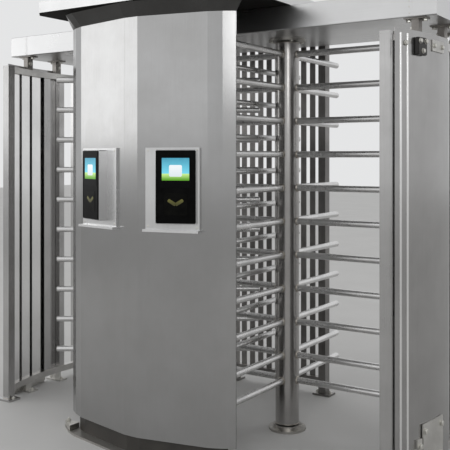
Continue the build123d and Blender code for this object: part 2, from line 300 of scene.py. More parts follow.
# Comb bars: fixed round stainless bars that stand out of the column's back beside each post.
# Each is polished tube, welded to the column with a bead round its root, and has a domed end.
COMB_X = 0.347
COMB_R = 0.015
COMB_ROOT_Y = -0.662
COMB_TIP_Y = 0.350
STEP = 0.188
COMB_HEIGHTS = {
    "right": [0.519 + STEP * k for k in range(9)],
    "left": [0.425 + STEP * k for k in range(10)],
}
COMB_WELD = 0.005
PLUG = [(1, -0.2), (1, 0.02), (0.85, 0.12), (0.5, 0.2), (0.12, 0.22)]
PLUG_SHARE = 0.8


def bead(mesh, spot, axis, radius, size):
    """A weld bead of the given size round a bar of the given radius, lying on the face it meets."""
    profile = [
        (radius - 0.3 * size, -0.1 * size),
        (radius + 0.9 * size, -0.1 * size),
        (radius + 0.75 * size, 0.45 * size),
        (radius + 0.3 * size, 0.85 * size),
        (radius - 0.3 * size, 0.9 * size),
    ]
    turned(mesh, spot, axis, profile, hoop=True)


def end_cap(mesh, spot, axis, radius):
    """A shallow domed plug pressed into a tube's end."""
    turned(mesh, spot, axis, scaled(PLUG, radius))


bar_steel = steel(
    "bar_steel",
    dark=(0.62, 0.615, 0.61),
    light=(0.80, 0.795, 0.79),
    rough=(0.22, 0.32),
    stretch=(1, 1, 1),
    scale=3.0,
)
weld = steel(
    "weld_bead",
    dark=(0.30, 0.27, 0.23),
    light=(0.60, 0.57, 0.53),
    rough=(0.30, 0.50),
    stretch=(1, 1, 1),
    scale=9.0,
    scratch=0.0004,
)
for side, sign in SIDES.items():
    dress(bar_steel, f"comb_bars_{side}")
    beads = bmesh.new()
    caps = bmesh.new()
    for height in COMB_HEIGHTS[side]:
        bead(beads, (sign * COMB_X, COMB_ROOT_Y, height), (0, 1, 0), COMB_R, COMB_WELD)
        end_cap(caps, (sign * COMB_X, COMB_TIP_Y, height), (0, 1, 0), PLUG_SHARE * COMB_R)
    piece(f"comb_welds_{side}", beads, weld, "frame")
    piece(f"comb_caps_{side}", caps, bar_steel, "frame")


# Terminal frames: shallow stainless surrounds screwed to the two broad faces of the column.
# Each has a bright ledge along its foot and four low-headed screws at its corners.
FACE_INNER = Vector((0.044, -0.815, 0))
FACE_OUTER = Vector((0.425, -0.735, 0))
FRAME_SHIFT = 0.008
FRAME_Z = 1.379
FRAME_WIDE = 0.300
FRAME_TALL = 0.412
FRAME_OUT = 0.012
SCREW_INSET = 0.014
TERMINAL_SCREW_R = 0.0055


def on_face(sign, across, height, out):
    """Point on a broad face: across from its middle line, up from the floor, and out of the face."""
    middle = (FACE_INNER + FACE_OUTER) / 2
    along = (FACE_OUTER - FACE_INNER).normalized()
    point = Vector((sign * middle.x, middle.y, height))
    point += across * Vector((along.x, sign * along.y, 0))
    point += out * face_normal(sign)
    return point


def face_normal(sign):
    """Direction straight out of a broad face."""
    along = (FACE_OUTER - FACE_INNER).normalized()
    return Vector((sign * along.y, -along.x, 0))


def screw_head(mesh, spot, axis, radius):
    """A low screw head with a hexagon insert in its middle."""
    head = [(radius, -0.0002), (radius, 0.0006), (0.86 * radius, 0.0010), (0.5 * radius, 0.0010)]
    socket = [(0.48 * radius, 0.0009), (0.48 * radius, 0.00125), (0.42 * radius, 0.00125)]
    turned(mesh, spot, axis, head)
    turned(mesh, spot, axis, socket, sides=6)


frame_steel = steel(
    "frame_steel",
    dark=(0.58, 0.58, 0.58),
    light=(0.74, 0.74, 0.74),
    rough=(0.24, 0.36),
    stretch=(1, 1, 0.02),
    scale=1.4,
)
ledge_steel = steel(
    "ledge_steel",
    dark=(0.66, 0.66, 0.66),
    light=(0.86, 0.86, 0.86),
    rough=(0.22, 0.36),
    stretch=(0.02, 1, 1),
    scale=1.4,
)
for side, sign in SIDES.items():
    dress(frame_steel, f"terminal_frame_{side}")
    dress(ledge_steel, f"terminal_sill_{side}")
    screws = bmesh.new()
    for across in (-1, 1):
        for up in (-1, 1):
            spot = on_face(
                sign,
                sign * FRAME_SHIFT + across * (FRAME_WIDE / 2 - SCREW_INSET),
                FRAME_Z + up * (FRAME_TALL / 2 - SCREW_INSET),
                FRAME_OUT,
            )
            screw_head(screws, spot, face_normal(sign), TERMINAL_SCREW_R)
    piece(f"terminal_screws_{side}", screws, zinc, "frame")


# Terminal cases: wedge-shaped steel boxes, one on each frame, turned a little outwards so
# that the reader faces its own lane. A black glass front lies in each box's folded rim.
CASE_SHIFT = 0.042
CASE_Z = 1.389
CASE_TURN = radians(11.5)
CASE_WIDE = 0.212
CASE_TALL = 0.372
CASE_CORNER = 0.008
CASE_EDGE = 0.0015
CASE_OUTER_THICK = 0.009
FRONT_INSET = 0.0035
FRONT_CORNER = 0.007
FRONT_THICK = 0.0025
FRONT_EDGE = 0.0008
RIM_INSET = 0.010
RIM_WIDE = 0.003
RIM_HIGH = 0.0016
RIM_CORNER = 0.010
SINK = 0.0003


def on_case(sign, across, height, out):
    """Point on a case's turned front; across grows outwards from the front's middle line."""
    root = FRAME_OUT + CASE_OUTER_THICK + CASE_WIDE / 2 * tan(CASE_TURN)
    along = across * cos(CASE_TURN) + out * sin(CASE_TURN)
    rise = root - across * sin(CASE_TURN) + out * cos(CASE_TURN)
    return on_face(sign, sign * (CASE_SHIFT + along), height, rise)


def rounded(wide, tall, corner, steps=6):
    """Outline of a rectangle with rounded corners, as (across, up) pairs."""
    outline = []
    for number, (x, y) in enumerate([(1, 1), (-1, 1), (-1, -1), (1, -1)]):
        for k in range(steps + 1):
            turn = pi / 2 * (number + k / steps)
            across = x * (wide / 2 - corner) + corner * cos(turn)
            up = y * (tall / 2 - corner) + corner * sin(turn)
            outline.append((across, up))
    return outline


def laid(mesh, sign, across, height, sections, hoop=False):
    """A closed form on a case's front; each section is (outline, how far it stands out)."""
    rings = []
    for outline, rise in sections:
        rings.append([mesh.verts.new(on_case(sign, across + x, height + y, rise)) for x, y in outline])
    skin(mesh, rings, hoop)


def plate(mesh, sign, across, height, wide, tall, corner, thick, edge):
    """A thin plate on a case's front, with a small bevel round its edge."""
    full = rounded(wide, tall, corner)
    inner = rounded(wide - 2 * edge, tall - 2 * edge, corner - edge)
    laid(mesh, sign, across, height, [(full, -SINK), (full, thick - edge), (inner, thick)])


case_steel = steel(
    "case_steel",
    dark=(0.56, 0.56, 0.56),
    light=(0.63, 0.63, 0.63),
    rough=(0.26, 0.32),
    stretch=(1, 1, 0.012),
    scale=1.2,
    scratch=0.00002,
)
black_front = paint(
    "black_front",
    dark=(0.001, 0.001, 0.001),
    light=(0.004, 0.004, 0.004),
    rough=(0.12, 0.22),
    scale=20,
    dimple=0.00003,
    gloss=0.05,
)
for side, sign in SIDES.items():
    box = bmesh.new()
    outline = rounded(CASE_WIDE, CASE_TALL, CASE_CORNER)
    inner = rounded(CASE_WIDE - 2 * CASE_EDGE, CASE_TALL - 2 * CASE_EDGE, CASE_CORNER - CASE_EDGE)
    root = []
    for x, y in outline:
        across = sign * (CASE_SHIFT + x * cos(CASE_TURN))
        root.append(box.verts.new(on_face(sign, across, CASE_Z + y, FRAME_OUT)))
    rim = [box.verts.new(on_case(sign, x, CASE_Z + y, -CASE_EDGE)) for x, y in outline]
    face = [box.verts.new(on_case(sign, x, CASE_Z + y, 0)) for x, y in inner]
    skin(box, [root, rim, face])
    made = piece(f"terminal_box_{side}", box, case_steel, "frame")
    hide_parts(f"terminal_{side}")
    front = bmesh.new()
    wide = CASE_WIDE - 2 * FRONT_INSET
    tall = CASE_TALL - 2 * FRONT_INSET
    plate(front, sign, 0, CASE_Z, wide, tall, FRONT_CORNER, FRONT_THICK, FRONT_EDGE)
    wide = CASE_WIDE - 2 * RIM_INSET
    tall = CASE_TALL - 2 * RIM_INSET
    outer = rounded(wide, tall, RIM_CORNER)
    inner = rounded(wide - 2 * RIM_WIDE, tall - 2 * RIM_WIDE, RIM_CORNER - RIM_WIDE)
    low = FRONT_THICK - SINK
    high = FRONT_THICK + RIM_HIGH
    laid(front, sign, 0, CASE_Z, [(outer, low), (outer, high), (inner, high), (inner, low)], hoop=True)
    piece(f"terminal_front_{side}", front, black_front, "frame")


# Terminal screens: a lit display under black glass in the upper part of each case.
# It shows a plain blue field over a green one with a white panel, and no words.
GLASS_OUT = FRONT_THICK + 0.001
GLASS_Z = 1.464
GLASS_WIDE = 0.156
GLASS_TALL = 0.160
PICTURE_Z = 1.477
PICTURE_WIDE = 0.140
PICTURE_TALL = 0.112
PICTURE_CORNER = 0.0015
PICTURE_THICK = 0.0003
FIELD_TALL = 0.034
PANEL_WIDE = 0.066
PANEL_TALL = 0.058
PANEL_DROP = 0.008
PANEL_CORNER = 0.008
PANEL_THICK = 0.0007
THIN_EDGE = 0.0001
GLASS_EDGE = 0.0004
GLASS_CORNER = 0.004


def lit(name, low, high, strength, direction, start, end):
    """A lit field whose colour runs from low to high along an axis of the piece, under dark glass."""
    made, tree, shader = finish(name, 0.0)
    place = node(tree, "ShaderNodeTexCoord")
    split = node(tree, "ShaderNodeSeparateXYZ")
    link(tree, place.outputs["Object"], split.inputs["Vector"])
    along = spread(tree, split.outputs[direction], 0, 1, start, end)
    uneven = spread(tree, grain(tree, (1, 1, 1), 40), 0.86, 1.0)
    dimmed = node(tree, "ShaderNodeMath", operation="MULTIPLY")
    link(tree, along, dimmed.inputs[0])
    link(tree, uneven, dimmed.inputs[1])
    link(tree, tinted(tree, dimmed.outputs[0], low, high), shader.inputs["Emission Color"])
    shader.inputs["Emission Strength"].default_value = strength
    unlit = tinted(tree, dimmed.outputs[0], (0.01, 0.01, 0.01), (0.02, 0.02, 0.02))
    link(tree, unlit, shader.inputs["Base Color"])
    link(tree, spread(tree, grain(tree, (1, 1, 1), 15), 0.08, 0.16), shader.inputs["Roughness"])
    link(tree, relief(tree, grain(tree, (1, 1, 1), 900), 0.00002), shader.inputs["Normal"])
    return made


glass = paint(
    "screen_glass",
    dark=(0.001, 0.001, 0.001),
    light=(0.004, 0.004, 0.005),
    rough=(0.05, 0.12),
    scale=12,
    dimple=0.00002,
    gloss=0.05,
)
sky = lit(
    "display_sky",
    low=(0.16, 0.66, 0.84),
    high=(0.03, 0.28, 0.42),
    strength=1.0,
    direction="Z",
    start=PICTURE_Z - 0.02,
    end=PICTURE_Z + 0.056,
)
field = lit(
    "display_field",
    low=(0.10, 0.36, 0.005),
    high=(0.62, 0.92, 0.30),
    strength=1.0,
    direction="Z",
    start=PICTURE_Z - 0.050,
    end=PICTURE_Z - 0.022,
)
panel = lit(
    "display_panel",
    low=(0.72, 0.80, 0.84),
    high=(0.90, 0.94, 0.96),
    strength=1.0,
    direction="Z",
    start=PICTURE_Z - 0.03,
    end=PICTURE_Z + 0.03,
)
for side, sign in SIDES.items():
    cover = bmesh.new()
    plate(cover, sign, 0, GLASS_Z, GLASS_WIDE, GLASS_TALL, GLASS_CORNER, GLASS_OUT, GLASS_EDGE)
    made = piece(f"display_glass_{side}", cover, glass, "frame")
    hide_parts(f"terminal_screen_{side}")
    sky_tall = PICTURE_TALL - FIELD_TALL
    sky_z = PICTURE_Z + FIELD_TALL / 2
    field_z = PICTURE_Z - sky_tall / 2
    shapes = {
        "sky": (sky, sky_z, PICTURE_WIDE, sky_tall, PICTURE_CORNER, PICTURE_THICK),
        "field": (field, field_z, PICTURE_WIDE, FIELD_TALL, PICTURE_CORNER, PICTURE_THICK),
        "panel": (panel, PICTURE_Z - PANEL_DROP, PANEL_WIDE, PANEL_TALL, PANEL_CORNER, PANEL_THICK),
    }
    for name, (material, height, wide, tall, corner, thick) in shapes.items():
        mesh = bmesh.new()
        plate(mesh, sign, 0, height, wide, tall, corner, GLASS_OUT + thick, THIN_EDGE)
        piece(f"display_{name}_{side}", mesh, material, "frame")


# Reading fields: below each screen, two dim amber lamps under a smoked window show
# where a card is held. The window is a thin moulding clipped into the black front.
WINDOW_Z = 1.303
WINDOW_WIDE = 0.120
WINDOW_TALL = 0.110
WINDOW_CORNER = 0.012
WINDOW_OUT = FRONT_THICK + 0.0012
LAMP_Z = 1.312
LAMP_LONG = 0.046
LAMP_WIDE = 0.017
LAMP_APART = 0.019
LAMP_CORNER = 0.006
LAMP_TILT = radians(32)
LAMP_THICK = 0.0005

smoked = paint(
    "smoked_window",
    dark=(0.002, 0.002, 0.002),
    light=(0.006, 0.006, 0.005),
    rough=(0.10, 0.2),
    scale=18,
    dimple=0.00004,
    gloss=0.05,
)
amber = lit(
    "amber_lamp",
    low=(0.040, 0.038, 0.002),
    high=(0.085, 0.080, 0.004),
    strength=1.0,
    direction="Z",
    start=LAMP_Z - 0.01,
    end=LAMP_Z + 0.01,
)
for side, sign in SIDES.items():
    window = bmesh.new()
    plate(window, sign, 0, WINDOW_Z, WINDOW_WIDE, WINDOW_TALL, WINDOW_CORNER, WINDOW_OUT, GLASS_EDGE)
    piece(f"reader_window_{side}", window, smoked, "frame")
    lamps = bmesh.new()
    for hand in (-1, 1):
        turn = hand * LAMP_TILT
        bar = []
        for x, y in rounded(LAMP_LONG, LAMP_WIDE, LAMP_CORNER):
            across = x * cos(turn) - y * sin(turn) + hand * LAMP_APART
            bar.append((across, x * sin(turn) + y * cos(turn)))
        laid(lamps, sign, 0, LAMP_Z, [(bar, WINDOW_OUT - 0.0002), (bar, WINDOW_OUT + LAMP_THICK)])
    piece(f"reader_lamps_{side}", lamps, amber, "frame")


# Roof beam: a long box of folded stainless sheet across both lanes, brushed lengthways.
# Its two end sections are joined on with lapped strips, riveted through the front and rear.
BEAM_Y = 0.330
BEAM_LOW = 2.202
BEAM_HIGH = 2.330
LAP_X = 1.312
LAP_WIDE = 0.028
LAP_THICK = 0.0015
LAP_FOOT = 0.006
LAP_HEAD = 0.008
LAP_EDGE = 0.0004
RIVET_R = 0.0035
RIVET_HEIGHTS = (0.02, 0.05, 0.078, 0.108)


def block(mesh, low, high, edge=0.0):
    """A square block between two corners, its edges bevelled by edge."""
    size = Vector(high) - Vector(low)
    centre = (Vector(high) + Vector(low)) / 2
    place = Matrix.Translation(centre) @ Matrix.Diagonal((*size, 1))
    made = bmesh.ops.create_cube(mesh, size=1.0, matrix=place)
    if edge:
        soften(mesh, {line for corner in made["verts"] for line in corner.link_edges}, edge)


beam_steel = steel(
    "beam_steel",
    dark=(0.60, 0.60, 0.60),
    light=(0.68, 0.68, 0.68),
    rough=(0.24, 0.32),
    stretch=(0.012, 1, 1),
    scale=1.0,
    wave=0.0006,
)
dress(beam_steel, "roof_beam")
laps = bmesh.new()
rivets = bmesh.new()
for sign in SIDES.values():
    for face in (-1, 1):
        x = sign * LAP_X
        near, far = sorted((face * BEAM_Y, face * (BEAM_Y + LAP_THICK)))
        low = (x - LAP_WIDE / 2, near, BEAM_LOW + LAP_FOOT)
        high = (x + LAP_WIDE / 2, far, BEAM_HIGH - LAP_HEAD)
        block(laps, low, high, LAP_EDGE)
        dome = [(RIVET_R, -0.0002), (RIVET_R, 0.0004), (0.6 * RIVET_R, 0.0013), (0.2 * RIVET_R, 0.0016)]
        for height in RIVET_HEIGHTS:
            spot = (x, face * (BEAM_Y + LAP_THICK), BEAM_LOW + height)
            turned(rivets, spot, (0, face, 0), dome, 12)
piece("beam_laps", laps, beam_steel, "frame")
piece("beam_rivets", rivets, zinc, "frame")


# Canopy: a thick plate with folded stainless edges, and a dull dark colour underneath that is painted
# shade.
# Its top sheet is held down along both sides by low-headed screws.
CANOPY_TOP = 2.390
CANOPY_X = 0.665
SCREW_EDGE = 0.030
CANOPY_SCREW_PITCH = 0.25
CANOPY_SCREW_R = 0.007
# Painted shade: the near-black colour laid on every face of the canopy that looks down.
UNDERSIDE_SHADE = (0.012, 0.011, 0.010)


def shaded_below(name, source, shade_colour):
    """The source steel on the sides and top, and painted shade, a dull dark non-metal colour, wherever
    the sheet faces down.
    """
    made = source.copy()
    made.name = name
    tree = made.node_tree
    shader = tree.nodes["Principled BSDF"]
    shader.inputs["Specular IOR Level"].default_value = 0.06
    facing = node(tree, "ShaderNodeNewGeometry")
    split = node(tree, "ShaderNodeSeparateXYZ")
    link(tree, facing.outputs["True Normal"], split.inputs["Vector"])
    # Mask of the faces that look down, where the painted shade goes; metallic is 0 there.
    below = spread(tree, split.outputs["Z"], 1, 0, -0.8, -0.6)
    for socket, value in (("Base Color", (*shade_colour, 1)), ("Roughness", 0.6)):
        held = shader.inputs[socket].links[0].from_socket
        mix = node(tree, "ShaderNodeMix", data_type="RGBA" if socket == "Base Color" else "FLOAT")
        link(tree, below, mix.inputs["Factor"])
        link(tree, held, mix.inputs["A"])
        mix.inputs["B"].default_value = value
        link(tree, mix.outputs["Result"], shader.inputs[socket])
    painted = node(tree, "ShaderNodeMath", operation="SUBTRACT")
    painted.inputs[0].default_value = 1.0
    link(tree, below, painted.inputs[1])
    link(tree, painted.outputs[0], shader.inputs["Metallic"])
    return made


canopy_steel = steel(
    "canopy_edge_steel",
    dark=(0.62, 0.62, 0.62),
    light=(0.72, 0.72, 0.72),
    rough=(0.32, 0.40),
    stretch=(0.02, 0.02, 1),
    scale=1.2,
    wave=0.0006,
)
dress(shaded_below("canopy_sheet_shaded_below", canopy_steel, UNDERSIDE_SHADE), "canopy_plate")
screws = bmesh.new()
for sign in SIDES.values():
    for along in range(-3, 4):
        spot = (sign * (CANOPY_X - SCREW_EDGE), along * CANOPY_SCREW_PITCH, CANOPY_TOP)
        screw_head(screws, spot, (0, 0, 1), CANOPY_SCREW_R)
piece("canopy_screws", screws, zinc, "frame")


# Brackets: plates and stubs that hang each side screen's top rail from the beam.
# They are welded steel, with two hexagon bolts up through each plate and a clamp bolt.
BRACKET_YS = (-0.285, 0, 0.285)
BRACKET_LOW = 2.196
STUB_LOW = 2.115
BRACKET_BOLT_X = 0.040
BRACKET_BOLT_R = 0.0075
BRACKET_WELD = 0.003
STUB_BOLT_OUT = 0.018
STUB_HALF_WIDE = 0.017
STUB_HALF_DEEP = 0.023
BOLT_HEAD = [(1.45, 0.3), (1.7, 0.42), (1.7, 1.35), (1.3, 1.6)]
WELD_SIDES = 8
SIDE_MID_X = 1.362
SIDE_END_X = 1.270
SIDE_HALF = 0.505


def side_x(y):
    """Distance of a side screen's middle line from X = 0, at y along the lane."""
    return SIDE_MID_X - (SIDE_MID_X - SIDE_END_X) * (y / SIDE_HALF) ** 2


def side_lean(y):
    """Angle by which that line leans away from Y."""
    return 2 * (SIDE_MID_X - SIDE_END_X) * y / SIDE_HALF**2


def hexagon(mesh, spot, axis, size):
    """A hexagon bolt's head on its washer; size is the bolt's radius."""
    turned(mesh, spot, axis, scaled(WASHER, size))
    turned(mesh, spot, axis, scaled(BOLT_HEAD, size), sides=6)


def weld_line(mesh, start, end, lean, size, pitch=0.005):
    """A rippled fillet weld from start to end, in a corner that opens towards lean."""
    run = Vector(end) - Vector(start)
    steps = max(2, round(run.length / pitch))
    out = Vector(lean).normalized() * size
    across = run.normalized().cross(out)
    rings = []
    for k in range(steps + 1):
        at = Vector(start) + run * (k / steps)
        swell = 0.88 + 0.12 * cos(pi * k)
        ends = 0.35 if k in (0, steps) else 1.0
        ring = []
        for turn in range(WELD_SIDES):
            angle = 2 * pi * turn / WELD_SIDES
            ring.append(mesh.verts.new(at + ends * swell * (cos(angle) * out + sin(angle) * across)))
        rings.append(ring)
    skin(mesh, rings)


bracket_steel = steel(
    "bracket_steel",
    dark=(0.16, 0.15, 0.14),
    light=(0.40, 0.38, 0.36),
    rough=(0.30, 0.46),
    stretch=(1, 1, 1),
    scale=2.0,
)
for side, sign in SIDES.items():
    dress(bracket_steel, f"side_brackets_{side}")
    bolts = bmesh.new()
    welds = bmesh.new()
    for y in BRACKET_YS:
        x = sign * side_x(y)
        for across in (-BRACKET_BOLT_X, BRACKET_BOLT_X):
            hexagon(bolts, (x + across, y, BRACKET_LOW), (0, 0, -1), BRACKET_BOLT_R)
        clamp = (x - sign * STUB_BOLT_OUT, y, (STUB_LOW + BRACKET_LOW) / 2)
        hexagon(bolts, clamp, (-sign, 0, 0), BRACKET_BOLT_R)
        for face in (-1, 1):
            for height, up in ((BRACKET_LOW, -1), (STUB_LOW, 1)):
                start = (x - STUB_HALF_WIDE, y + face * STUB_HALF_DEEP, height)
                end = (x + STUB_HALF_WIDE, y + face * STUB_HALF_DEEP, height)
                weld_line(welds, start, end, (0, face, up), BRACKET_WELD)
    piece(f"bracket_bolts_{side}", bolts, zinc, "frame")
    piece(f"bracket_welds_{side}", welds, weld, "frame")


# End posts of the side screens: square stainless tubes on floor plates, one at each end.
# Each is welded round its foot, bolted down twice, and closed by a folded cap.
POST_HALF = 0.025
PLATE_TOP = 0.012
POST_TOP = 2.115
POST_BOLT = 0.042
POST_WELD = 0.003
SMALL_ANCHOR_R = 0.0058
POST_CAP_WALL = 0.001
POST_CAP_DEEP = 0.012
POST_CAP_THICK = 0.002
POST_CAP_EDGE = 0.0009
CORNERS = ((-1, -1), (1, -1), (1, 1), (-1, 1))

tube_steel = steel(
    "tube_steel",
    dark=(0.42, 0.415, 0.41),
    light=(0.56, 0.555, 0.55),
    rough=(0.20, 0.28),
    stretch=(1, 1, 0.015),
    scale=1.6,
)
for side, sign in SIDES.items():
    dress(tube_steel, f"side_end_posts_{side}")
    bolts = bmesh.new()
    welds = bmesh.new()
    caps = bmesh.new()
    for y in (-SIDE_HALF, SIDE_HALF):
        x = sign * SIDE_END_X
        for across in (-POST_BOLT, POST_BOLT):
            anchor(bolts, (x + across, y, PLATE_TOP), (0, 0, 1), SMALL_ANCHOR_R)
        corners = [Vector((x + a * POST_HALF, y + b * POST_HALF, PLATE_TOP)) for a, b in CORNERS]
        for start, end in zip(corners, corners[1:] + corners[:1]):
            lean = (start + end) / 2 - Vector((x, y, PLATE_TOP - POST_HALF))
            weld_line(welds, start, end, lean, POST_WELD)
        half = POST_HALF + POST_CAP_WALL
        low = (x - half, y - half, POST_TOP - POST_CAP_DEEP)
        high = (x + half, y + half, POST_TOP + POST_CAP_THICK)
        block(caps, low, high, POST_CAP_EDGE)
    piece(f"end_post_anchors_{side}", bolts, zinc, "frame")
    piece(f"end_post_welds_{side}", welds, weld, "frame")
    piece(f"end_post_caps_{side}", caps, tube_steel, "frame")


# Rails and feet of the side screens: curved flat bands under and over the slats, and
# bolted blocks that carry the lower one. Both are rolled and cut from stainless steel.
FOOT_YS = (-0.300, 0, 0.300)
FOOT_TOP = 0.010
FOOT_BOLT_X = 0.050

rail_steel = steel(
    "rail_steel",
    dark=(0.40, 0.39, 0.38),
    light=(0.66, 0.65, 0.63),
    rough=(0.24, 0.38),
    stretch=(1, 0.03, 1),
    scale=1.6,
)
foot_steel = steel(
    "foot_steel",
    dark=(0.46, 0.45, 0.43),
    light=(0.78, 0.77, 0.74),
    rough=(0.28, 0.46),
    stretch=(1, 1, 1),
    scale=2.0,
)
for side, sign in SIDES.items():
    dress(rail_steel, f"side_rails_{side}")
    dress(foot_steel, f"side_feet_{side}")
    bolts = bmesh.new()
    for y in FOOT_YS:
        for across in (-FOOT_BOLT_X, FOOT_BOLT_X):
            anchor(bolts, (sign * side_x(y) + across, y, FOOT_TOP), (0, 0, 1), SMALL_ANCHOR_R)
    piece(f"foot_anchors_{side}", bolts, zinc, "frame")


# Slats of the side screens: wide thin upright plates beside the near end posts.
# They are brushed stainless flats, welded to both rails.
SLAT_YS = (-0.430, -0.318, -0.206)
SLAT_HALF_WIDE = 0.044
SLAT_HALF_THICK = 0.004
SLAT_LOW = 0.090
SLAT_HIGH = 2.075
SLAT_WELD = 0.0026


def screen_welds(mesh, sign, y, half_thick, half_wide):
    """Welds along both faces of an upright, at the lower and upper rails."""
    turn = Matrix.Rotation(sign * side_lean(y), 3, "Z")
    middle = Vector((sign * side_x(y), y, 0))
    for height, up in ((SLAT_LOW, 1), (SLAT_HIGH, -1)):
        for face in (-1, 1):
            start = middle + turn @ Vector((face * half_thick, -half_wide, 0)) + Vector((0, 0, height))
            end = middle + turn @ Vector((face * half_thick, half_wide, 0)) + Vector((0, 0, height))
            lean = turn @ Vector((face, 0, 0)) + Vector((0, 0, up))
            weld_line(mesh, start, end, lean, SLAT_WELD)


slat_steel = steel(
    "slat_steel",
    dark=(0.76, 0.755, 0.75),
    light=(0.88, 0.875, 0.87),
    rough=(0.18, 0.26),
    stretch=(1, 1, 0.015),
    scale=1.4,
)
for side, sign in SIDES.items():
    dress(slat_steel, f"side_slats_{side}")
    welds = bmesh.new()
    for y in SLAT_YS:
        screen_welds(welds, sign, y, SLAT_HALF_THICK, SLAT_HALF_WIDE)
    piece(f"slat_welds_{side}", welds, weld, "frame")


# Uprights of the side screens: one stout square tube behind the slats, then thinner ones.
# They carry the side of the lane and are welded to both rails.
UPRIGHTS = ((-0.110, 0.030), (0.032, 0.0225), (0.168, 0.0225), (0.304, 0.0225), (0.420, 0.0225))
UPRIGHT_HALF_DEEP = 0.018

for side, sign in SIDES.items():
    dress(tube_steel, f"side_uprights_{side}")
    welds = bmesh.new()
    for y, half_wide in UPRIGHTS:
        screen_welds(welds, sign, y, UPRIGHT_HALF_DEEP, half_wide)
    piece(f"upright_welds_{side}", welds, weld, "frame")


# Cladding of the side screens: 2 mm stainless sheet hung on the outside of both rails.
# A fold near its front edge stiffens it, and two pressed battens run up beside that edge.
CLAD_FRONT_Y = -0.476
CLAD_FOLD_Y = -0.345
CLAD_REAR_Y = 0.020
CLAD_LOW = 0.056
CLAD_HIGH = 2.135
CLAD_GAP = 0.0205
CLAD_THICK = 0.002
BATTEN_YS = (-0.437, -0.388)
BATTEN_HALF = 0.007
BATTEN_PROUD = 0.004
BATTEN_ROOT = 0.004
BATTEN_CREST = 0.4
BATTEN_SHORT = 0.020
CLAD_STEP = 0.040


def outside(sign, y, out):
    """Point in plan on a side screen's outer side, out from its middle line."""
    lean = side_lean(y)
    return (sign * (side_x(y) + out * cos(lean)), y + out * sin(lean))


clad_steel = steel(
    "clad_steel",
    dark=(0.36, 0.355, 0.35),
    light=(0.46, 0.455, 0.45),
    rough=(0.18, 0.26),
    stretch=(1, 1, 0.012),
    scale=1.2,
    wave=0.0005,
)
for side, sign in SIDES.items():
    sheet = bmesh.new()
    stops = [CLAD_FRONT_Y, CLAD_FOLD_Y]
    while stops[-1] < CLAD_REAR_Y - 0.001:
        stops.append(min(stops[-1] + CLAD_STEP, CLAD_REAR_Y))
    inner = [outside(sign, y, CLAD_GAP) for y in stops]
    outer = [outside(sign, y, CLAD_GAP + CLAD_THICK) for y in stops]
    upright_sheet(sheet, inner + outer[::-1], CLAD_LOW, CLAD_HIGH)
    piece(f"screen_cladding_{side}", sheet, clad_steel, "frame", crease=8)
    battens = bmesh.new()
    for y in BATTEN_YS:
        reach = CLAD_GAP + CLAD_THICK
        line = [
            outside(sign, y - BATTEN_HALF, reach - BATTEN_ROOT),
            outside(sign, y - BATTEN_HALF, reach),
            outside(sign, y - BATTEN_CREST * BATTEN_HALF, reach + BATTEN_PROUD),
            outside(sign, y + BATTEN_CREST * BATTEN_HALF, reach + BATTEN_PROUD),
            outside(sign, y + BATTEN_HALF, reach),
            outside(sign, y + BATTEN_HALF, reach - BATTEN_ROOT),
        ]
        upright_sheet(battens, line, CLAD_LOW + BATTEN_SHORT, CLAD_HIGH - BATTEN_SHORT)
    piece(f"cladding_battens_{side}", battens, slat_steel, "frame", crease=80)


# Clamps and foot brackets: cast blocks that tie the cladding to the rails near its head,
# and bolted steel angles that tie it to the floor. Both stand on its outer side.
# The values give each block's ends along Y, its lower and upper heights and its depth.
HEAD_CLAMP = (-0.338, -0.262, 2.020, 2.104, 0.022)
HEAD_PLATE = (-0.190, -0.060, 2.052, 2.108, 0.006)
FOOT_PLATE = (-0.285, -0.080, 0.012, 0.262, 0.008)
FOOT_STEPS = (
    (-0.330, -0.285, 0.012, 0.200, 0.010),
    (-0.372, -0.330, 0.012, 0.160, 0.010),
    (-0.418, -0.372, 0.012, 0.120, 0.010),
)
FOOT_LEAF = (-0.418, -0.080, 0.0, 0.012, 0.044)
HEAD_CLAMP_EDGE = 0.004
PLATE_EDGE = 0.0012
# Bolts, as their place along Y and their height.
CLAMP_BOLTS = ((-0.322, 2.086), (-0.278, 2.086), (-0.300, 2.040))
PLATE_BOLTS = ((-0.168, 2.080), (-0.082, 2.080), (-0.402, 2.070))
FOOT_BOLTS = (
    (-0.262, 0.226),
    (-0.102, 0.226),
    (-0.262, 0.080),
    (-0.102, 0.080),
    (-0.395, 0.090),
    (-0.308, 0.166),
)
HEAD_BOLT_SIZE = 0.0065
FOOT_BOLT_SIZE = 0.0085
LEAF_BOLT_YS = (-0.360, -0.250, -0.120)
LEAF_BOLT_OUT = CLAD_GAP + 0.028
LEAF_BOLT_R = 0.0055


def on_cladding(mesh, sign, span, edge=PLATE_EDGE):
    """A block on the cladding's outer side; span is its ends along Y, its heights and its depth."""
    start, end, low, high, deep = span
    reach = CLAD_GAP + CLAD_THICK
    middle = (start + end) / 2
    half = (end - start) / 2
    made = bmesh.new()
    block(made, (-0.0005, -half, low), (deep, half, high), edge)
    lean = side_lean(middle)
    x, y = outside(sign, middle, reach)
    across = Vector((sign * cos(lean), sin(lean), 0))
    along = Vector((-sign * sin(lean), cos(lean), 0))
    for corner in made.verts:
        corner.co = Vector((x, y, corner.co.z)) + corner.co.x * across + corner.co.y * along
    held = bpy.data.meshes.new("block")
    made.to_mesh(held)
    made.free()
    mesh.from_mesh(held)
    bpy.data.meshes.remove(held)


def cladding_bolt(mesh, sign, y, height, deep, size):
    """A hexagon bolt that stands square out of the cladding, or of a plate this deep on it."""
    lean = side_lean(y)
    x, rear = outside(sign, y, CLAD_GAP + CLAD_THICK + deep)
    hexagon(mesh, (x, rear, height), (sign * cos(lean), sin(lean), 0), size)


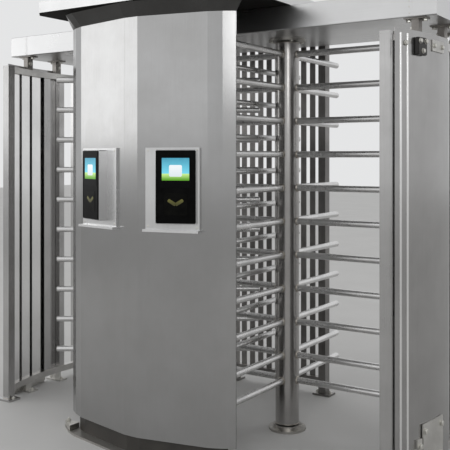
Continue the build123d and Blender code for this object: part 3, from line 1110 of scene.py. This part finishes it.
cast_paint = paint(
    "cast_clamp",
    dark=(0.016, 0.015, 0.014),
    light=(0.045, 0.042, 0.040),
    rough=(0.4, 0.6),
    scale=14,
    dimple=0.0004,
)
for side, sign in SIDES.items():
    clamps = bmesh.new()
    on_cladding(clamps, sign, HEAD_CLAMP, HEAD_CLAMP_EDGE)
    piece(f"head_clamp_{side}", clamps, cast_paint, "frame")
    plates = bmesh.new()
    for span in (HEAD_PLATE, FOOT_PLATE, FOOT_LEAF, *FOOT_STEPS):
        on_cladding(plates, sign, span)
    piece(f"foot_bracket_{side}", plates, foot_steel, "frame")
    bolts = bmesh.new()
    for y, height in CLAMP_BOLTS:
        cladding_bolt(bolts, sign, y, height, HEAD_CLAMP[4], HEAD_BOLT_SIZE)
    for y, height in PLATE_BOLTS:
        deep = HEAD_PLATE[4] if y > HEAD_PLATE[0] else 0
        cladding_bolt(bolts, sign, y, height, deep, HEAD_BOLT_SIZE)
    for y, height in FOOT_BOLTS:
        deep = FOOT_PLATE[4] if y > FOOT_PLATE[0] else FOOT_STEPS[0][4]
        cladding_bolt(bolts, sign, y, height, deep, FOOT_BOLT_SIZE)
    for y in LEAF_BOLT_YS:
        anchor(bolts, (*outside(sign, y, LEAF_BOLT_OUT), FOOT_LEAF[3]), (0, 0, 1), LEAF_BOLT_R)
    piece(f"clamp_bolts_{side}", bolts, zinc, "frame")


# Floor bearings: stepped round pads, turned from steel, that hold the posts' lower spindles.
# Four low-headed screws fix each to the floor, and a felt ring keeps grit out of the gap.
AXIS_X = 0.465
PAD_STEP = 0.012
PAD_TOP = 0.030
PAD_SCREW_RING = 0.092
PAD_SCREW_R = 0.007
FELT_IN = 0.0265
FELT_OUT = 0.040
FELT_TALL = 0.004

bearing_steel = steel(
    "bearing_steel",
    dark=(0.30, 0.29, 0.27),
    light=(0.58, 0.56, 0.53),
    rough=(0.28, 0.44),
    stretch=(1, 1, 1),
    scale=2.6,
)
felt = paint(
    "felt_ring",
    dark=(0.02, 0.02, 0.018),
    light=(0.07, 0.065, 0.06),
    rough=(0.85, 0.95),
    scale=40,
    dimple=0.0006,
)
for side, sign in SIDES.items():
    dress(bearing_steel, f"floor_bearing_{side}")
    screws = bmesh.new()
    for k in range(4):
        turn = pi / 4 + k * pi / 2
        spot = (sign * AXIS_X + PAD_SCREW_RING * cos(turn), PAD_SCREW_RING * sin(turn), PAD_STEP)
        screw_head(screws, spot, (0, 0, 1), PAD_SCREW_R)
    piece(f"pad_screws_{side}", screws, zinc, "frame")
    ring = bmesh.new()
    profile = [
        (FELT_IN, 0),
        (FELT_OUT, 0),
        (FELT_OUT, 0.8 * FELT_TALL),
        (FELT_OUT - 0.001, FELT_TALL),
        (FELT_IN, FELT_TALL),
    ]
    turned(ring, (sign * AXIS_X, 0, PAD_TOP), (0, 0, 1), profile, 48, hoop=True)
    piece(f"pad_felt_{side}", ring, felt, "frame")


# Rotor posts: closed stainless tubes that turn on a spindle at each end.
# Each end is closed by a welded plate, whose bead shows round the tube's rim.
POST_R = 0.067
POST_LOW = 0.036
POST_HIGH = 2.184
RIM_SIZE = 0.0018
RIM_FROM_END = 0.002

post_steel = steel(
    "post_steel",
    dark=(0.31, 0.30, 0.29),
    light=(0.50, 0.49, 0.48),
    rough=(0.16, 0.26),
    stretch=(1, 1, 0.012),
    scale=1.6,
)
for side, sign in SIDES.items():
    dress(post_steel, f"rotor_{side}_post")
    rims = bmesh.new()
    for height in (POST_LOW + RIM_FROM_END, POST_HIGH - RIM_FROM_END):
        profile = []
        for k in range(WELD_SIDES):
            turn = 2 * pi * k / WELD_SIDES
            profile.append((POST_R + RIM_SIZE * cos(turn), RIM_SIZE * sin(turn)))
        turned(rims, (sign * AXIS_X, 0, height), (0, 0, 1), profile, 56, hoop=True)
    piece(f"post_rims_{side}", rims, weld, f"rotor_{side}")


# Wings of the rotors: round polished bars one above another, four wings to a post.
# Each bar is welded to the post with a bead round its root and closed by a domed plug.
BAR_R = 0.0175
REACH = 0.640
BARS = {
    "right": [0.283] + [0.425 + STEP * k for k in range(10)],
    "left": [0.331] + [0.519 + STEP * k for k in range(9)],
}
FIRST_WING = {"right": 0, "left": 214}
BAR_WELD = 0.0065
BAR_SUNK = 0.001
BAR_PLUG_SHARE = 0.76

for side, sign in SIDES.items():
    for number in range(4):
        name = f"rotor_{side}_wing_{number + 1}"
        dress(bar_steel, name)
        turn = radians(FIRST_WING[side] + 90 * number)
        out = Vector((cos(turn), sin(turn), 0))
        beads = bmesh.new()
        caps = bmesh.new()
        for height in BARS[side]:
            foot = Vector((sign * AXIS_X, 0, height))
            bead(beads, foot + (POST_R - BAR_SUNK) * out, out, BAR_R, BAR_WELD)
            end_cap(caps, foot + REACH * out, out, BAR_PLUG_SHARE * BAR_R)
        piece(f"{name}_welds", beads, weld, f"rotor_{side}")
        piece(f"{name}_caps", caps, bar_steel, f"rotor_{side}")


# Top bearings: bored round plates under the beam that hold the posts' upper spindles.
# Each is bolted up into the beam with four hexagon bolts.
TOP_LOW = 2.190
TOP_BOLT_RING = 0.086
TOP_BOLT_R = 0.005

for side, sign in SIDES.items():
    dress(bearing_steel, f"top_bearing_{side}")
    bolts = bmesh.new()
    for k in range(4):
        turn = pi / 4 + k * pi / 2
        spot = (sign * AXIS_X + TOP_BOLT_RING * cos(turn), TOP_BOLT_RING * sin(turn), TOP_LOW)
        hexagon(bolts, spot, (0, 0, -1), TOP_BOLT_R)
    piece(f"head_bolts_{side}", bolts, zinc, "frame")


# Back screen: upright flats between two square posts on the far side of the column.
# It is dull dark stainless, welded throughout, and its posts are bolted to the floor.
BACK_Y = 0.700
BACK_POST_X = 0.345
BACK_BOLT = 0.045
SLAT_PITCH = 0.066
BACK_SLAT_HALF = 0.019
BACK_SLAT_EDGE = 0.004
BACK_SLAT_LOW = 0.110
BACK_SLAT_HIGH = 2.290

back_steel = steel(
    "back_steel",
    dark=(0.14, 0.135, 0.13),
    light=(0.32, 0.31, 0.30),
    rough=(0.28, 0.42),
    stretch=(1, 1, 0.015),
    scale=1.6,
)
dress(back_steel, "back_screen_slats", "back_screen_rails", "back_screen_posts")
welds = bmesh.new()
for k in range(-4, 5):
    for height, up in ((BACK_SLAT_LOW, 1), (BACK_SLAT_HIGH, -1)):
        for face in (-1, 1):
            start = (k * SLAT_PITCH - BACK_SLAT_HALF, BACK_Y + face * BACK_SLAT_EDGE, height)
            end = (k * SLAT_PITCH + BACK_SLAT_HALF, BACK_Y + face * BACK_SLAT_EDGE, height)
            weld_line(welds, start, end, (0, face, up), SLAT_WELD)
piece("back_screen_welds", welds, weld, "frame")
bolts = bmesh.new()
for sign in SIDES.values():
    for across in (-BACK_BOLT, BACK_BOLT):
        anchor(bolts, (sign * BACK_POST_X + across, BACK_Y, PLATE_TOP), (0, 0, 1), SMALL_ANCHOR_R)
piece("back_screen_anchors", bolts, zinc, "frame")


# Studio: a plain pale floor, soft even light from all round, two broad lamps on the left,
# one in front and one on the right. The camera stands at eye height and looks level.
FLOOR_HALF = 30.0
EYE = (2.695, -3.987, 1.533)
TURN = 0.5843
LENS = 64.2
LOWER_FRAME = -0.149
SIDE_FRAME = -0.0055

mesh = bmesh.new()
bmesh.ops.create_grid(mesh, x_segments=2, y_segments=2, size=FLOOR_HALF)
data = bpy.data.meshes.new("studio_floor")
mesh.to_mesh(data)
mesh.free()
floor = bpy.data.objects.new("studio_floor", data)
bpy.context.collection.objects.link(floor)
made, tree, shader = finish("studio_floor_paint", 0.0)
tone = spread(tree, grain(tree, (1, 1, 1), 1.2, detail=6.0), 0, 1)
link(tree, tinted(tree, tone, (0.50, 0.495, 0.485), (0.54, 0.535, 0.525)), shader.inputs["Base Color"])
shader.inputs["Roughness"].default_value = 0.75
link(tree, relief(tree, grain(tree, (1, 1, 1), 90), 0.0003), shader.inputs["Normal"])
data.materials.append(made)

world = bpy.data.worlds.new("studio")
world.use_nodes = True
world.node_tree.nodes["Background"].inputs["Color"].default_value = (0.78, 0.785, 0.79, 1)
world.node_tree.nodes["Background"].inputs["Strength"].default_value = 1.0
bpy.context.scene.world = world


def lamp(name, place, aim, wide, tall, power):
    """A flat lamp at place that shines at aim; sizes in metres and power in watts."""
    data = bpy.data.lights.new(name, "AREA")
    data.shape = "RECTANGLE"
    data.size = wide
    data.size_y = tall
    data.energy = power
    made = bpy.data.objects.new(name, data)
    made.location = place
    made.rotation_euler = (Vector(aim) - Vector(place)).to_track_quat("-Z", "Y").to_euler()
    bpy.context.collection.objects.link(made)


lamp("left_lamp", (-6.35, -3.2, 3.4), (-0.1, -0.8, 2.2), 2.9, 3.6, 41)
lamp("middle_lamp", (-4.2, -5.95, 3.4), (-0.1, -0.8, 2.2), 2.0, 3.6, 28)
lamp("front_lamp", (-1.0, -9.0, 3.1), (0, -0.8, 1.9), 7.0, 2.6, 14)
lamp("right_lamp", (5.2, -6.2, 3.8), (0.6, -0.5, 1.6), 2.0, 2.6, 52)

data = bpy.data.cameras.new("camera")
data.lens = LENS
data.sensor_width = 36
data.shift_x = SIDE_FRAME
data.shift_y = LOWER_FRAME
camera = bpy.data.objects.new("camera", data)
camera.location = EYE
camera.rotation_euler = (pi / 2, 0, TURN)
bpy.context.collection.objects.link(camera)
scene = bpy.context.scene
scene.camera = camera
scene.view_settings.view_transform = "Standard"
